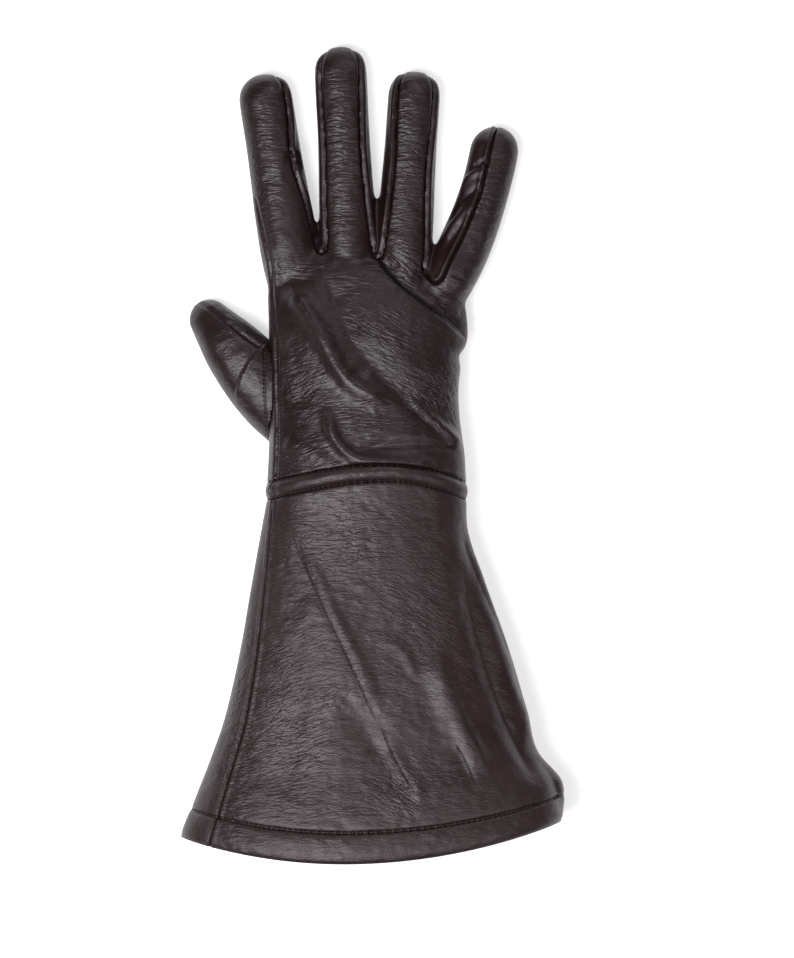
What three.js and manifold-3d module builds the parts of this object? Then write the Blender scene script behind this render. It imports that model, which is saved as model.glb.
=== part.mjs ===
import * as THREE from "three";
import { mergeVertices } from "three/addons/utils/BufferGeometryUtils.js";
import Module from "manifold-3d";

// A leather gauntlet glove for a right hand, lying on its palm with the back of the hand up.
// It is modelled with the wrist seam at y = 0, +Y towards the fingertips and +X towards the
// little finger, and moved at the end so that the origin is under the middle of the whole glove.

// Leather and seams, in millimetres
const leather = 1.2; // wall of the hand, the thumb and the strips between the fingers
const cuffLeather = 1.8; // wall of the cuff and the band at the wrist
const seamGap = 0.3; // space between two pieces that are sewn together
const hemWidth = 12; // turned-up edge of the cuff
const hemSwell = 0.7; // how far the turned-up edge stands proud
const bandWidth = 6.3; // puffed band between hand and cuff
const bandSwell = 0.8;

// The hand
const wristWidth = 90;
const wristHeight = 44;
const handLength = 104; // wrist seam to the roots of the middle fingers
const wristArc = 8; // how far the wrist seam bows towards the fingers on the crown
const wristArcSkew = 0.35; // moves the top of that bow towards the little finger
const rootLean = -0.216; // slope of the line of finger roots, falling to the little finger
const rootBend = -0.55; // and its bend, over the wrist's width
const webReach = 12; // how much further out the palm side of the web between fingers lies

// The cuff
const cuffLength = 149.5; // along its sides, below the band
const mouthWidth = 171.5;
const mouthHeight = 64;
const mouthArc = -14; // bow of the hem, away from the fingers
const mouthTilt = 3.5; // the little finger's end of the hem lies higher

// The thumb
const thumbLength = 69;
const thumbWidth = 33;
const thumbHeight = 27;
const thumbTip = 7; // length of its rounded end
const thumbLean = -43; // degrees from the hand's length, towards its outside
const thumbTipLean = -40;
const thumbRootX = -0.7; // root of the axis, as a share of half the wrist's width
const thumbRootY = 0.26; // and as a share of the hand's length
const thumbSeamShare = 0.5; // its closing seam, as a share of half its width

const fingerHeight = 25; // at the roots of the fingers
const fingerLength = 91; // of the middle finger
const fingerBreadth = 0.278; // of the middle finger, as a share of the wrist's width

// rootX is a share of half the wrist's width and rootY of the hand's length. length and width
// are shares of the middle finger's, and tip, the length of the rounded end, of the width.
const fingers = [
  { name: "index", rootX: -0.776, rootY: 1.021, length: 0.868, width: 1, tip: 0.36, lean: -8.7, tipLean: -8.7 },
  { name: "middle", rootX: -0.18, rootY: 1.021, length: 1, width: 1, tip: 0.44, lean: -2.6, tipLean: -2.6 },
  { name: "ring", rootX: 0.37, rootY: 1, length: 0.901, width: 0.992, tip: 0.34, lean: 3.9, tipLean: 3.9 },
  { name: "little", rootX: 0.87, rootY: 0.926, length: 0.725, width: 0.936, tip: 0.47, lean: 27, tipLean: 8 },
];

// Sections of a finger: at is a share of its length, wide of its width, high of fingerHeight.
const fingerRows = [
  { at: -0.34, wide: 0.8, high: 0.82 },
  { at: -0.15, wide: 0.96, high: 0.98 },
  { at: 0, wide: 1.02, high: 1 },
  { at: 0.15, wide: 1.05, high: 0.95 },
  { at: 0.3, wide: 1.05, high: 0.9 },
  { at: 0.5, wide: 1, high: 0.87 },
  { at: 0.7, wide: 0.95, high: 0.81 },
  { at: 0.9, wide: 0.94, high: 0.75 },
  { at: 1, wide: 0.92, high: 0.72 },
];

// Where the seams run on a finger's back, as shares of half its width, left negative.
const seamRows = {
  index: { right: [0.93, 0.81, 0.6, 0.76, 0.7] },
  middle: { left: [-0.78, -0.77, -0.76, -0.82, -0.74], right: [0.82, 0.7, 0.64, 0.71, 0.7] },
  ring: { left: [-0.7, -0.6, -0.57, -0.65, -0.6], right: [0.78, 0.69, 0.68, 0.76, 0.7] },
  little: { left: [-0.24, -0.2, -0.14, -0.17, -0.12] },
};
const seamStations = [0.03, 0.25, 0.5, 0.75, 0.97]; // shares of the finger's length
const seamBeyondTip = 0.15; // the seams' cutting lines run past the tip by this share
const crossReach = 1.1; // the cross seam ends this share of half a width from the finger's axis

// Between two fingers: drop lowers the bottom of the seam towards the wrist, as a share of the
// hand's length. crossOn is the finger whose strip ends at the cross seam, beyond how far past
// the web's reach the seam lies, as a share of the hand's length.
const crotches = [
  { from: "index", to: "middle", drop: 0.055, crossOn: "middle", beyond: 0.04 },
  { from: "middle", to: "ring", drop: 0.065, crossOn: "ring", beyond: 0.04 },
  { from: "ring", to: "little", drop: 0.12, crossOn: "ring", beyond: -0.065 },
];
const stripNames = {
  index: ["index", "middle_radial"],
  middle: ["middle_ulnar", "ring_radial"],
  ring: ["ring_ulnar", "little"],
};

// Sections of the thumb, from its root inside the palm.
const thumbRows = [
  { at: 0, wide: 0.9, high: 0.92 },
  { at: 0.2, wide: 1, high: 1 },
  { at: 0.4, wide: 0.98, high: 1 },
  { at: 0.64, wide: 0.84, high: 0.93 },
  { at: 0.8, wide: 0.66, high: 0.8 },
  { at: 0.92, wide: 0.5, high: 0.62 },
  { at: 1, wide: 0.42, high: 0.5 },
];

// Sections of the hand: at is a share of its length, left and right of half the wrist's width,
// top and low of the wrist's height, seam the place of the side seam as a share of left.
// Below 0 the leather is pressed flat by what it lies on.
const handRows = [
  { at: 0, left: 1, right: 1, top: 1, low: 0.05, seam: 0.91 },
  { at: 0.12, left: 0.985, right: 0.985, top: 0.97, low: 0.03, seam: 0.91 },
  { at: 0.28, left: 0.98, right: 0.935, top: 0.92, low: -0.02, seam: 0.91 },
  { at: 0.42, left: 0.985, right: 0.925, top: 0.89, low: -0.03, seam: 0.915 },
  { at: 0.54, left: 0.985, right: 0.945, top: 0.86, low: -0.03, seam: 0.92 },
  { at: 0.63, left: 0.985, right: 0.93, top: 0.83, low: -0.03, seam: 0.93 },
  { at: 0.7, left: 0.985, right: 0.985, top: 0.78, low: -0.03, seam: 0.94 },
  { at: 0.82, left: 0.995, right: 1.02, top: 0.7, low: -0.03, seam: 0.955 },
  { at: 0.92, left: 0.98, right: 1, top: 0.62, low: -0.03, seam: 0.975 },
  { at: 1, left: 0.92, right: 0.93, top: 0.48, low: -0.02, seam: 1.06 },
];

// Sections of the cuff: at is a share of its length, left and right of half the mouth's width,
// top and low of the mouth's height, seam the place of the side seam as a share of left.
const cuffRows = [
  { at: 0, left: 0.525, right: 0.525, top: 0.695, low: 0.035, seam: 0.94 },
  { at: 0.1, left: 0.557, right: 0.535, top: 0.7, low: 0.045, seam: 0.91 },
  { at: 0.25, left: 0.604, right: 0.62, top: 0.73, low: 0.05, seam: 0.88 },
  { at: 0.45, left: 0.665, right: 0.742, top: 0.79, low: 0.04, seam: 0.86 },
  { at: 0.65, left: 0.745, right: 0.842, top: 0.86, low: 0.02, seam: 0.85 },
  { at: 0.78, left: 0.825, right: 0.9, top: 0.91, low: 0, seam: 0.85 },
  { at: 0.88, left: 0.895, right: 1.03, top: 0.96, low: -0.03, seam: 0.845 },
  { at: 1, left: 0.975, right: 1.022, top: 1, low: -0.03, seam: 0.84 },
];

// Folds of the back of the hand and of the cuff, each from one point to another. x is a share
// of half the wrist's width, y of the hand's or the cuff's length, wide and rise in shares of
// the wrist's height. A negative rise is a valley.
const handFolds = [
  { x0: -0.82, y0: 0.86, x1: -0.4, y1: 0.62, wide: 0.14, rise: 0.05 },
  { x0: -0.4, y0: 0.62, x1: 0, y1: 0.36, wide: 0.16, rise: 0.065 },
  { x0: -0.42, y0: 0.93, x1: -0.1, y1: 0.52, wide: 0.14, rise: -0.06 },
  { x0: -0.05, y0: 0.46, x1: 0.82, y1: 0.12, wide: 0.14, rise: -0.055 },
  { x0: 0.1, y0: 0.86, x1: 0.82, y1: 0.55, wide: 0.2, rise: 0.07 },
  { x0: 0.3, y0: 1, x1: 0.9, y1: 0.74, wide: 0.14, rise: -0.05 },
  { x0: 0.44, y0: 0.33, x1: 0.9, y1: 0.12, wide: 0.14, rise: 0.05 },
  { x0: -0.35, y0: 0.28, x1: 0.5, y1: 0.08, wide: 0.14, rise: 0.05 },
];
const cuffFolds = [
  { x0: -0.76, y0: -0.16, x1: 0.05, y1: -0.66, wide: 0.18, rise: 0.035 },
  { x0: -0.3, y0: -0.58, x1: 0.4, y1: -0.92, wide: 0.2, rise: -0.05 },
  { x0: 0.67, y0: -0.55, x1: 1.15, y1: -0.85, wide: 0.2, rise: 0.08 },
  { x0: 0.98, y0: -0.35, x1: 1.72, y1: -0.9, wide: 0.24, rise: -0.09 },
];

const upperSides = 20; // points round the upper half of a section of the hand and the cuff
const lowerSides = 12; // and round its flat lower half
const tubeSides = 14; // points round a section of a finger or the thumb
const slack = 0.03; // how far a surface may move when its needless points are left out
const topSquare = 2.3; // exponent of a section's upper half, 2 for an ellipse
const lowSquare = 2.7; // and of its lower, flatter half
const clear = 40; // how far a cutting solid reaches past what it cuts

const wasm = await Module();
wasm.setup();
const radians = THREE.MathUtils.degToRad;
const smooth = THREE.MathUtils.smoothstep;

// A column of a table of sections at any place, on a smooth curve through its rows.
function read(table, column, at) {
  const last = table.length - 1;
  let i = table.findIndex((row) => row.at > at) - 1;
  if (i < 0) i = at < table[0].at ? 0 : last - 1;
  const place = (n) => table[THREE.MathUtils.clamp(n, 0, last)];
  const slope = (n) => {
    const [before, after] = [place(n - 1), place(n + 1)];
    return (after[column] - before[column]) / (after.at - before.at);
  };
  const span = place(i + 1).at - place(i).at;
  const t = THREE.MathUtils.clamp((at - place(i).at) / span, 0, 1);
  const [a, b] = [place(i)[column], place(i + 1)[column]];
  const [startSlope, endSlope] = [slope(i) * span, slope(i + 1) * span];
  const risen = t * t * (3 - 2 * t);
  return a + (b - a) * risen + startSlope * t * (1 - t) * (1 - t) - endSlope * t * t * (1 - t);
}

// A point on a rounded section: turn goes round once from 0 to 1, starting at +x.
function sectionPoint(turn, left, right, top, low) {
  const [c, s] = [Math.cos(2 * Math.PI * turn), Math.sin(2 * Math.PI * turn)];
  const power = 2 / (s > 0 ? topSquare : lowSquare);
  const middle = (top + low) / 2;
  const x = Math.sign(c) * Math.abs(c) ** power * (c > 0 ? right : left);
  const z = middle + Math.sign(s) * Math.abs(s) ** power * (top - middle);
  return [x, z];
}

// How far the folds lift or sink the leather at x, y.
function foldRise(folds, x, y, length) {
  const half = wristWidth / 2;
  return folds.reduce((sum, fold) => {
    const start = new THREE.Vector2(fold.x0 * half, fold.y0 * length);
    const run = new THREE.Vector2(fold.x1 * half, fold.y1 * length).sub(start);
    const offset = new THREE.Vector2(x, y).sub(start);
    const t = THREE.MathUtils.clamp(offset.dot(run) / run.lengthSq(), 0, 1);
    const away = offset.addScaledVector(run, -t).length() / (fold.wide * wristHeight);
    return sum + fold.rise * wristHeight * Math.exp(-away * away);
  }, 0);
}

// The flat lines that run across the hand and the cuff, bowed as the seams are.
function bow(x, half, amount) {
  const u = THREE.MathUtils.clamp(x / half, -1, 1);
  return amount * (1 - u * u) * (1 + (amount > 0 ? wristArcSkew * u : 0));
}

// The skin of the hand: share runs from the wrist seam, 0, to the finger roots, 1.
function handPoint(share, turn, inset, shorten = 0) {
  const half = wristWidth / 2;
  const value = (column) => read(handRows, column, share);
  const [left, right] = [value("left") * half - inset, value("right") * half - inset];
  const [top, low] = [value("top") * wristHeight - inset, value("low") * wristHeight + inset];
  const [x, z] = sectionPoint(turn, left, right, top, low);
  const lean = smooth(share, 0.35, 1) * (rootLean * x + (rootBend * x * x) / wristWidth);
  const web = smooth(share, 0.8, 1) * webReach * (1 - z / top);
  const arc = bow(x, half, wristArc) * (1 - smooth(share, 0, 0.6));
  const y = share * handLength + lean + web + arc - shorten;
  const crown = smooth(z, 0.55 * top, 0.95 * top);
  return [x, y, Math.max(z + crown * foldRise(handFolds, x, y, handLength), inset)];
}

// The skin of the cuff and the band: along is the distance below the wrist seam.
function cuffPoint(along, turn, inset) {
  const share = (along - bandWidth) / cuffLength;
  const half = mouthWidth / 2;
  const value = (column) => read(cuffRows, column, share);
  const [left, right] = [value("left") * half - inset, value("right") * half - inset];
  const [top, low] = [value("top") * mouthHeight - inset, value("low") * mouthHeight + inset];
  const [x, z] = sectionPoint(turn, left, right, top, low);
  const grown = THREE.MathUtils.clamp(share, 0, 1);
  const reach = half * value(x > 0 ? "right" : "left");
  const arc = bow(x, reach, THREE.MathUtils.lerp(wristArc, mouthArc, grown));
  const tilt = (grown * mouthTilt * x) / half;
  const y = arc + tilt - along;
  const crown = smooth(z, 0.5 * top, 0.9 * top) * smooth(share, 0, 0.15);
  return [x, y, Math.max(z + crown * foldRise(cuffFolds, x, y, cuffLength), inset, 0)];
}

// The axis of a finger or the thumb, which turns evenly from lean to tipLean.
function axisPoint(digit, share) {
  const steps = 24;
  const point = new THREE.Vector2(digit.x, digit.y);
  for (let i = 0; i < steps; i++) {
    const t = ((i + 0.5) / steps) * share;
    const angle = radians(THREE.MathUtils.lerp(digit.lean, digit.tipLean, Math.max(t, 0)));
    const step = (digit.length * share) / steps;
    point.add(new THREE.Vector2(Math.sin(angle), Math.cos(angle)).multiplyScalar(step));
  }
  const angle = radians(THREE.MathUtils.lerp(digit.lean, digit.tipLean, Math.max(share, 0)));
  return { point, side: new THREE.Vector2(Math.cos(angle), -Math.sin(angle)) };
}

// The skin of a finger or the thumb. Its end is rounded over the length of digit.tip.
function digitPoint(digit, share, turn, inset) {
  const left = (1 - share) * digit.length;
  const round = Math.sqrt(1 - Math.max(0, 1 - left / digit.tip) ** 2);
  const wide = (digit.width / 2) * read(digit.rows, "wide", share);
  const high = digit.height * read(digit.rows, "high", share);
  const middle = high * 0.45;
  const [w, up] = [wide * round - inset, (high - middle) * round - inset];
  const down = (middle + 0.03 * high) * round - inset;
  const [x, z] = sectionPoint(turn, w, w, middle + up, middle - down);
  const { point, side } = axisPoint(digit, share);
  point.addScaledVector(side, x);
  return [point.x, point.y, Math.max(z, inset)];
}

// A closed solid from rings of points. The last ring may be a single point.
function loft(rings, cap = "fan") {
  const positions = rings.flat(2);
  const index = [];
  const starts = rings.map((ring, i) => rings.slice(0, i).reduce((n, r) => n + r.length, 0));
  for (let i = 0; i + 1 < rings.length; i++) {
    const count = rings[i].length;
    for (let j = 0; j < count; j++) {
      const k = (j + 1) % count;
      const [a, b] = [starts[i] + j, starts[i] + k];
      if (rings[i + 1].length === 1) {
        index.push(a, b, starts[i + 1]);
        continue;
      }
      const [c, d] = [starts[i + 1] + j, starts[i + 1] + k];
      index.push(a, b, d, a, d, c);
    }
  }
  for (const [ring, start, front] of [[rings[0], starts[0], false], [rings.at(-1), starts.at(-1), true]]) {
    if (ring.length < 3) continue;
    if (cap === "zip") {
      // Strips from the upper half of the ring to the lower half, for a wide, flat end.
      const place = (j) => (j + ring.length) % ring.length;
      let [over, under] = [0, 0];
      while (over - under < ring.length - 1) {
        const overIsNearer = over < upperSides && ring[over + 1][0] >= ring[place(under - 1)][0];
        const takeOver = overIsNearer || (over < upperSides && place(under) === upperSides + 1);
        const next = takeOver ? over + 1 : place(under - 1);
        const face = [start + over, start + next, start + place(under)];
        index.push(...(front ? face : face.reverse()));
        if (takeOver) over += 1;
        else under -= 1;
      }
      continue;
    }
    const centre = positions.length / 3;
    for (const axis of [0, 1, 2]) positions.push(ring.reduce((sum, p) => sum + p[axis], 0) / ring.length);
    for (let j = 0; j < ring.length; j++) {
      const [a, b] = [start + j, start + ((j + 1) % ring.length)];
      index.push(...(front ? [a, b, centre] : [b, a, centre]));
    }
  }
  return solid(positions, index);
}

// A manifold solid, turned to face outwards.
function solid(positions, index) {
  const geometry = new THREE.BufferGeometry();
  geometry.setAttribute("position", new THREE.Float32BufferAttribute(positions, 3));
  geometry.setIndex(index);
  const merged = mergeVertices(geometry, 1e-4);
  const make = (triVerts) =>
    new wasm.Manifold(
      new wasm.Mesh({ numProp: 3, vertProperties: merged.attributes.position.array, triVerts }),
    );
  const triangles = new Uint32Array(merged.index.array);
  const made = make(triangles);
  return made.volume() > 0 ? made : make(triangles.map((v, i, all) => all[i - (i % 3) + 2 - (i % 3)]));
}

// Places round a section, evenly spaced in its upper half and in its lower half.
function ringOf(upper, lower, point) {
  const over = Array.from({ length: upper }, (unused, j) => (0.5 * j) / upper);
  const under = Array.from({ length: lower }, (unused, j) => 0.5 + (0.5 * j) / lower);
  return [...over, ...under].map(point);
}

// The hand without its fingers, as a full solid: the leather is what lies between two of them.
function handBody(inset, from) {
  const shares = [0.1, 0.2, 0.3, 0.4, 0.5, 0.6, 0.68, 0.76, 0.84, 0.92, 1];
  return loft(
    [from, ...shares].map((share) => {
      const end = share === 1 ? inset * 1.4 : 0;
      return ringOf(upperSides, lowerSides, (turn) => handPoint(share, turn, inset, end));
    }),
    "zip",
  );
}

function digitBody(digit, inset) {
  const bodyEnd = 1 - digit.tip / digit.length;
  const first = digit.rows[0].at;
  const count = 7;
  const shares = Array.from({ length: count + 1 }, (unused, i) => first + ((bodyEnd - first) * i) / count);
  const end = 1 - inset / digit.length;
  const tipTurns = [32, 60].map((angle) => bodyEnd + (end - bodyEnd) * Math.sin(radians(angle)));
  const rings = [...shares, ...tipTurns].map((share) =>
    ringOf(tubeSides / 2, tubeSides / 2, (turn) => digitPoint(digit, share, turn, inset)),
  );
  const tip = axisPoint(digit, end).point;
  const middle = digit.height * read(digit.rows, "high", 1) * 0.45;
  return loft([...rings, [[tip.x, tip.y, middle]]]);
}

// A wall round the cuff: swell says how far the outside stands proud at a distance below the wrist.
function cuffWall(alongs, swell) {
  const ring = (along, inset) => ringOf(upperSides, lowerSides, (turn) => cuffPoint(along, turn, inset));
  const outer = alongs.map((along) => ring(along, -swell(along)));
  const inner = alongs.map((along) => ring(along, cuffLeather));
  const loops = [...outer, ...inner.reverse()];
  const count = upperSides + lowerSides;
  const index = [];
  loops.forEach((loop, i) => {
    const next = (i + 1) % loops.length;
    loop.forEach((unused, j) => {
      const k = (j + 1) % count;
      const [a, b, c, d] = [i * count + j, i * count + k, next * count + j, next * count + k];
      index.push(a, b, d, a, d, c);
    });
  });
  return solid(loops.flat(2), index);
}

// An upright solid over an outline in plan.
function upright(points, from, to) {
  const shape = new THREE.Shape(points);
  const geometry = new THREE.ExtrudeGeometry(shape, { depth: to - from, bevelEnabled: false });
  geometry.deleteAttribute("normal");
  geometry.deleteAttribute("uv");
  geometry.translate(0, 0, from);
  const merged = mergeVertices(geometry, 1e-4);
  return solid(Array.from(merged.attributes.position.array), Array.from(merged.index.array));
}

// A thin upright blade along a line in plan, for the slit of a seam.
function blade(line, from, to, thick = seamGap) {
  const side = (i) => {
    const [before, after] = [line[Math.max(i - 1, 0)], line[Math.min(i + 1, line.length - 1)]];
    const along = after.clone().sub(before).normalize();
    return new THREE.Vector2(-along.y, along.x).multiplyScalar(thick / 2);
  };
  const near = line.map((p, i) => p.clone().add(side(i)));
  const far = line.map((p, i) => p.clone().sub(side(i)));
  return upright([...near, ...far.reverse()], from, to);
}

const digits = fingers.map((finger) => ({
  ...finger,
  rows: fingerRows,
  height: fingerHeight,
  length: finger.length * fingerLength,
  width: finger.width * fingerBreadth * wristWidth,
  tip: finger.tip * finger.width * fingerBreadth * wristWidth,
  x: (finger.rootX * wristWidth) / 2,
  y: finger.rootY * handLength,
}));
const thumb = {
  rows: thumbRows,
  height: thumbHeight,
  length: thumbLength,
  width: thumbWidth,
  tip: thumbTip,
  lean: thumbLean,
  tipLean: thumbTipLean,
  x: (thumbRootX * wristWidth) / 2,
  y: thumbRootY * handLength,
};
const digitNamed = (name) => digits.find((digit) => digit.name === name);

// A place on a finger's back, off being a share of half its width there.
function onFinger(digit, share, off) {
  const { point, side } = axisPoint(digit, share);
  return point.addScaledVector(side, (off * digit.width * read(digit.rows, "wide", share)) / 2);
}

// The seam down one side of a finger, from past its tip to its root.
function fingerSeam(digit, sideName) {
  const offs = seamRows[digit.name][sideName];
  const line = seamStations.map((share, i) => onFinger(digit, share, offs[i])).reverse();
  return [onFinger(digit, 1 + seamBeyondTip, offs.at(-1)), ...line];
}

// The space between two fingers' seams, seen from above, with the round bottom of the seam.
function betweenFingers(crotch) {
  const down = fingerSeam(digitNamed(crotch.from), "right");
  const up = fingerSeam(digitNamed(crotch.to), "left").reverse();
  const bottom = down.at(-1).clone().add(up[0]).multiplyScalar(0.5);
  bottom.y -= crotch.drop * handLength;
  const curve = new THREE.SplineCurve([...down.slice(1), bottom, ...up.slice(0, -1)]);
  return [down[0], ...curve.getSpacedPoints(26), up.at(-1)];
}

const grown = (points, by) => {
  const centre = (i) => points[(i + points.length) % points.length];
  return points.map((p, i) => {
    const along = centre(i + 1).clone().sub(centre(i - 1)).normalize();
    return p.clone().add(new THREE.Vector2(along.y, -along.x).multiplyScalar(by));
  });
};

// Pieces of one solid, by where they lie.
const partsOf = (shape) => shape.decompose().filter((piece) => piece.volume() > 5);
const middleX = (piece) => (piece.boundingBox().min[0] + piece.boundingBox().max[0]) / 2;

const union = (solids) => solids.reduce((sum, next) => sum.add(next));
const skyward = wristHeight + clear;

// Hand and fingers as one shell of leather, before it is cut along its seams
const handOuter = handBody(0, 0);
const handHollow = handBody(leather, -0.05);
const fingersOuter = union(digits.map((digit) => digitBody(digit, 0)));
const fingersHollow = union(digits.map((digit) => digitBody(digit, leather)));
const handShell = handOuter.add(fingersOuter).subtract(handHollow).subtract(fingersHollow);

// Thumb: it ends against the palm's outside, and its hollow opens into the hand.
const handGrown = handBody(-seamGap, -0.05);
const thumbHollow = digitBody(thumb, leather);
const thumbSeam = [0.12, 0.3, 0.5, 0.7, 0.86].map((share) => onFinger(thumb, share, thumbSeamShare));
const thumbPiece = partsOf(
  digitBody(thumb, 0)
    .subtract(thumbHollow)
    .subtract(handGrown)
    .subtract(blade(thumbSeam, thumbHeight * 0.5, skyward)),
).sort((a, b) => b.volume() - a.volume())[0];

// Strips between the fingers
const strips = {};
let trank = handShell.subtract(thumbHollow);
for (const crotch of crotches) {
  const outline = betweenFingers(crotch);
  const strip = handShell.intersect(upright(outline, -clear, skyward));
  trank = trank.subtract(upright(grown(outline, seamGap), -clear, skyward));
  const digit = digitNamed(crotch.crossOn);
  const across = crotch.crossOn === crotch.to ? [-crossReach, -0.2] : [0.2, crossReach];
  const crossAt = (webReach + crotch.beyond * handLength) / digit.length;
  const cross = blade(across.map((off) => onFinger(digit, crossAt, off)), -clear, skyward);
  const halves = partsOf(strip.subtract(cross)).sort((a, b) => middleX(a) - middleX(b));
  stripNames[crotch.from].forEach((name, i) => (strips[`fourchette_${name}`] = halves[i]));
}

// Side seam of the hand, from the wrist to where it passes out of sight beside the index finger
const sideSeam = [-0.05, 0.1, 0.25, 0.4, 0.55, 0.7, 0.85, 0.96].map((share) => {
  const clamped = Math.max(share, 0);
  const x = (-read(handRows, "seam", clamped) * read(handRows, "left", clamped) * wristWidth) / 2;
  return new THREE.Vector2(x, share * handLength);
});
const indexSeam = [0.2, 0.32].map((share, i) => onFinger(digits[0], share, [-0.86, -1.02][i]));
trank = trank.subtract(blade([...sideSeam, ...indexSeam], fingerHeight * 0.5, skyward));

// Band and cuff, with the side seam running down both
const bandTop = seamGap;
const bandEnd = bandWidth - seamGap;
const bandShares = [0, 0.2, 0.5, 0.8, 1];
const rounded = (along, from, to) =>
  Math.sin(Math.PI * THREE.MathUtils.clamp((along - from) / (to - from), 0, 1));
const band = cuffWall(
  bandShares.map((share) => THREE.MathUtils.lerp(bandTop, bandEnd, share)),
  (along) => bandSwell * rounded(along, bandTop, bandEnd),
);
const cuffEnd = bandWidth + cuffLength;
const hemTop = cuffEnd - hemWidth;
const cuffShares = [0, 0.06, 0.14, 0.24, 0.34, 0.44, 0.54, 0.64, 0.74, 0.84, 0.93, 1];
const hemShares = [0.15, 0.5, 0.85, 1];
const cuff = cuffWall(
  [
    ...cuffShares.map((share) => THREE.MathUtils.lerp(bandWidth, hemTop, share)),
    ...hemShares.map((share) => THREE.MathUtils.lerp(hemTop, cuffEnd, share)),
  ],
  (along) => hemSwell * rounded(along, hemTop, cuffEnd),
);
const cuffSeam = [-0.06, 0.05, 0.15, 0.3, 0.45, 0.6, 0.75, 0.9, 1, 1.08].map((share) => {
  const clamped = THREE.MathUtils.clamp(share, 0, 1);
  const x = (-read(cuffRows, "left", clamped) * read(cuffRows, "seam", clamped) * mouthWidth) / 2;
  return new THREE.Vector2(x, -(bandWidth + share * cuffLength));
});
const cuffSlit = blade(cuffSeam, mouthHeight * 0.45, mouthHeight + clear);

// A mesh with its own material
function mesh(name, shape, colour, roughness) {
  const { vertProperties, triVerts } = shape.simplify(slack).getMesh();
  const geometry = new THREE.BufferGeometry();
  geometry.setAttribute("position", new THREE.BufferAttribute(new Float32Array(vertProperties), 3));
  geometry.setIndex(new THREE.BufferAttribute(new Uint32Array(triVerts), 1));
  geometry.computeVertexNormals();
  const material = new THREE.MeshStandardMaterial({ color: colour, roughness, metalness: 0 });
  const made = new THREE.Mesh(geometry, material);
  made.name = name;
  return made;
}

const brownLeather = 0x3a2b2c;
const cuffBrown = 0x40302f;
const glove = new THREE.Group();
glove.add(mesh("trank", trank, brownLeather, 0.42));
for (const [name, strip] of Object.entries(strips)) glove.add(mesh(name, strip, brownLeather, 0.42));
glove.add(mesh("thumb", thumbPiece, brownLeather, 0.42));
glove.add(mesh("wrist_band", band.subtract(cuffSlit), cuffBrown, 0.4));
glove.add(mesh("cuff", cuff.subtract(cuffSlit), cuffBrown, 0.45));

// The origin goes to the middle of the glove's outline, on the surface that it lies on.
const box = new THREE.Box3().setFromObject(glove);
const centre = box.getCenter(new THREE.Vector3());
glove.position.set(-centre.x, -centre.y, -box.min.z);

export default glove;
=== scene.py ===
# %% [markdown]
# # A leather gauntlet glove
#
# This notebook dresses the measured model of a right-hand gauntlet glove. The measured model has
# the true walls and seams as plain solids. Here each piece of leather gets its drape, its rolled
# edges, its stitches and its grain. The glove lies on its palm, with the back of the hand up.
# +Y runs to the fingertips, +X to the little finger, and Blender's unit is the metre.

import math
from collections import namedtuple

import bmesh
import bpy
import numpy as np
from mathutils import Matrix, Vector
from mathutils.bvhtree import BVHTree


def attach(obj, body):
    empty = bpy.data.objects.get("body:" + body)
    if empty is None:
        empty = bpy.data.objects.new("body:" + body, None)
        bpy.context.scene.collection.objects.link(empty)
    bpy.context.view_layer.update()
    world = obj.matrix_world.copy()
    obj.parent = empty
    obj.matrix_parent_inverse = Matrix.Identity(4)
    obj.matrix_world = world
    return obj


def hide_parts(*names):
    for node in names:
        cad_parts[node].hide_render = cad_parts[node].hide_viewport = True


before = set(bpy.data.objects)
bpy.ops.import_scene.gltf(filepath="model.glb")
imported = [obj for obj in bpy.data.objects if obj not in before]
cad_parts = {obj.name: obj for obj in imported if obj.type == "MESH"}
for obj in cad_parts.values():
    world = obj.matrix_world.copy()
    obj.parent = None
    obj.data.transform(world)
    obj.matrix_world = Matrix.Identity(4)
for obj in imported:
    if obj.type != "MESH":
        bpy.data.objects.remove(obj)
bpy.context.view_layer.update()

# %% [markdown]
# Glove makers measure in millimetres from the wrist seam, so the shapes below do too. One step at
# the very end of each piece, `to_frame`, turns millimetres into metres and moves the wrist seam
# to its place in the shared frame.

# %% Sizes in millimetres, from the wrist seam
wrist_seam = (-2.815, -13.579)
wrist_width, wrist_height = 90.0, 44.0
hand_length = 104.0
wrist_arc, wrist_arc_skew = 8.0, 0.35
root_lean, root_bend, web_reach = -0.216, -0.55, 12.0
band_width = 7.4
cuff_length = 148.4
mouth_width, mouth_height = 171.5, 64.0
mouth_arc, mouth_tilt = -14.0, 3.5
hem_width = 12.0
leather, cuff_leather, seam_gap = 1.5, 1.8, 0.3
finger_height, finger_length = 25.0, 91.0
finger_breadth = 0.278 * wrist_width
thumb_height = 27.0
back_squareness, palm_squareness = 2.3, 2.7


def table(columns, *rows):
    """Rows of sections as a dictionary of columns."""
    return {name: np.array([row[i] for row in rows]) for i, name in enumerate(columns.split())}


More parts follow.
